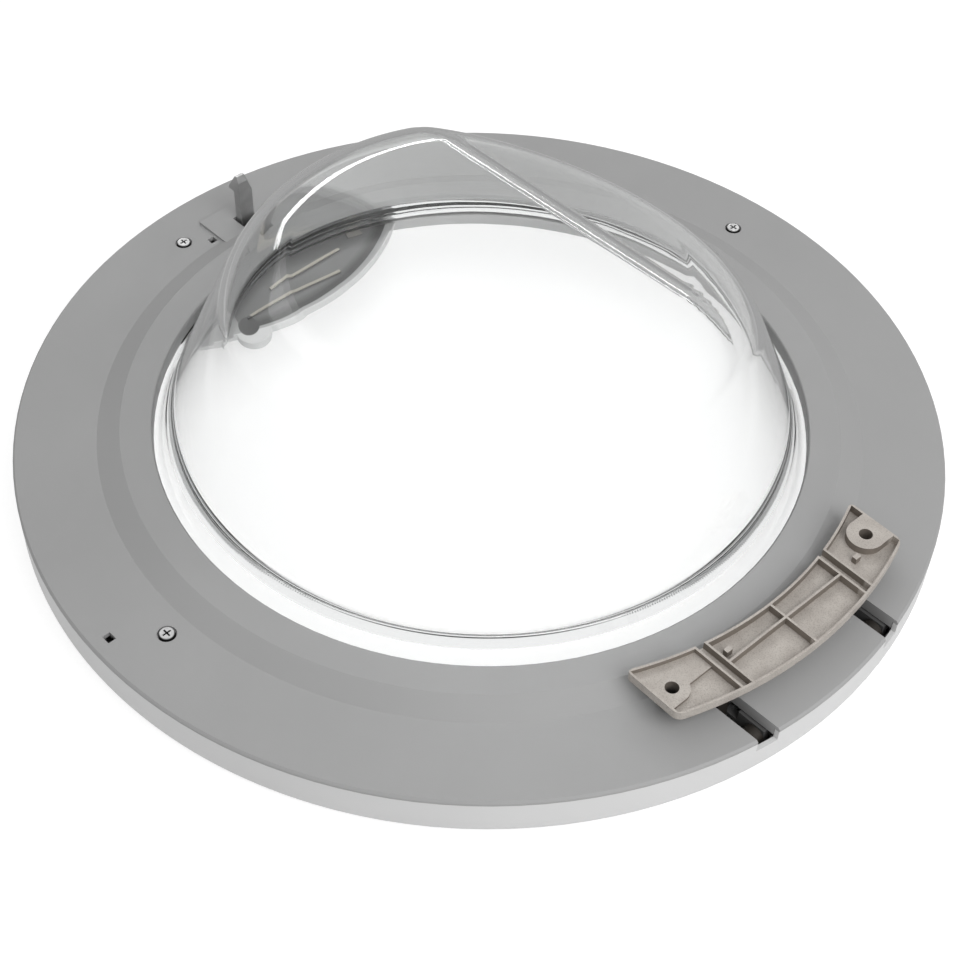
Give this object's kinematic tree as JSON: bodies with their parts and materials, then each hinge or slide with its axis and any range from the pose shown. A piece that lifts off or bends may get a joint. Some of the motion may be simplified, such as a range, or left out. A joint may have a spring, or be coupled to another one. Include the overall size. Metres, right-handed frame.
{
  "type": "washing machine door",
  "caption": "Round front-loader door with a two-part ring frame, clear glass bowl with sloped deflector, half-moon grip recess, sprung latch hook and die-cast hinge.",
  "frame": {"origin": "centre of the ring on the plane of the front face, the lowest point of the door as it lies face down", "axes": "+X towards the hinge, +Y towards the top of the mounted door, +Z from the front face towards the drum"},
  "size_m": [0.48, 0.48, 0.1194],
  "materials": {
    "silver_plastic": "satin silver lacquer",
    "grey_plastic": "fine matt moulding",
    "clear_glass": "clear pressed glass",
    "handle_plastic": "matt moulding",
    "steel": "zinc-plated steel",
    "hook_metal": "plain metal",
    "dark_plastic": "matt moulding",
    "zinc_casting": "bare zinc die casting",
    "bush_plastic": "plain low-friction plastic"
  },
  "bodies": {
    "door": {"front_frame": "silver_plastic", "inner_frame": "grey_plastic", "glass_bowl": "clear_glass", "handle_shell": "handle_plastic", "handle_screws": "steel", "frame_screws": "steel", "hook_pin": "steel", "hook_spring": "steel", "hook_bracket": "dark_plastic", "hook_bracket_screws": "steel", "hinge_pin_upper": "steel", "hinge_pin_lower": "steel", "hinge_bearing_upper": "dark_plastic", "hinge_bearing_lower": "dark_plastic", "bearing_screws": "steel"},
    "hinge": {"hinge_casting": "zinc_casting", "hinge_bush_upper": "bush_plastic", "hinge_bush_lower": "bush_plastic"},
    "latch": {"hook": "hook_metal"}
  },
  "joints": [
    {"name": "hinge_swing", "type": "hinge", "parent": "door", "child": "hinge", "pos_m": [0.225, -0.00425, 0.011], "axis": [0, 1, 0], "range_deg": [0, 140]},
    {"name": "hook_tilt", "type": "hinge", "parent": "door", "child": "latch", "pos_m": [-0.2037, 0.008, 0.011], "axis": [0, 1, 0], "range_deg": [0, 10], "stiffness_Nm_per_rad": 1.2, "springref_deg": -8.59, "deforming": ["hook_spring"]}
  ]
}
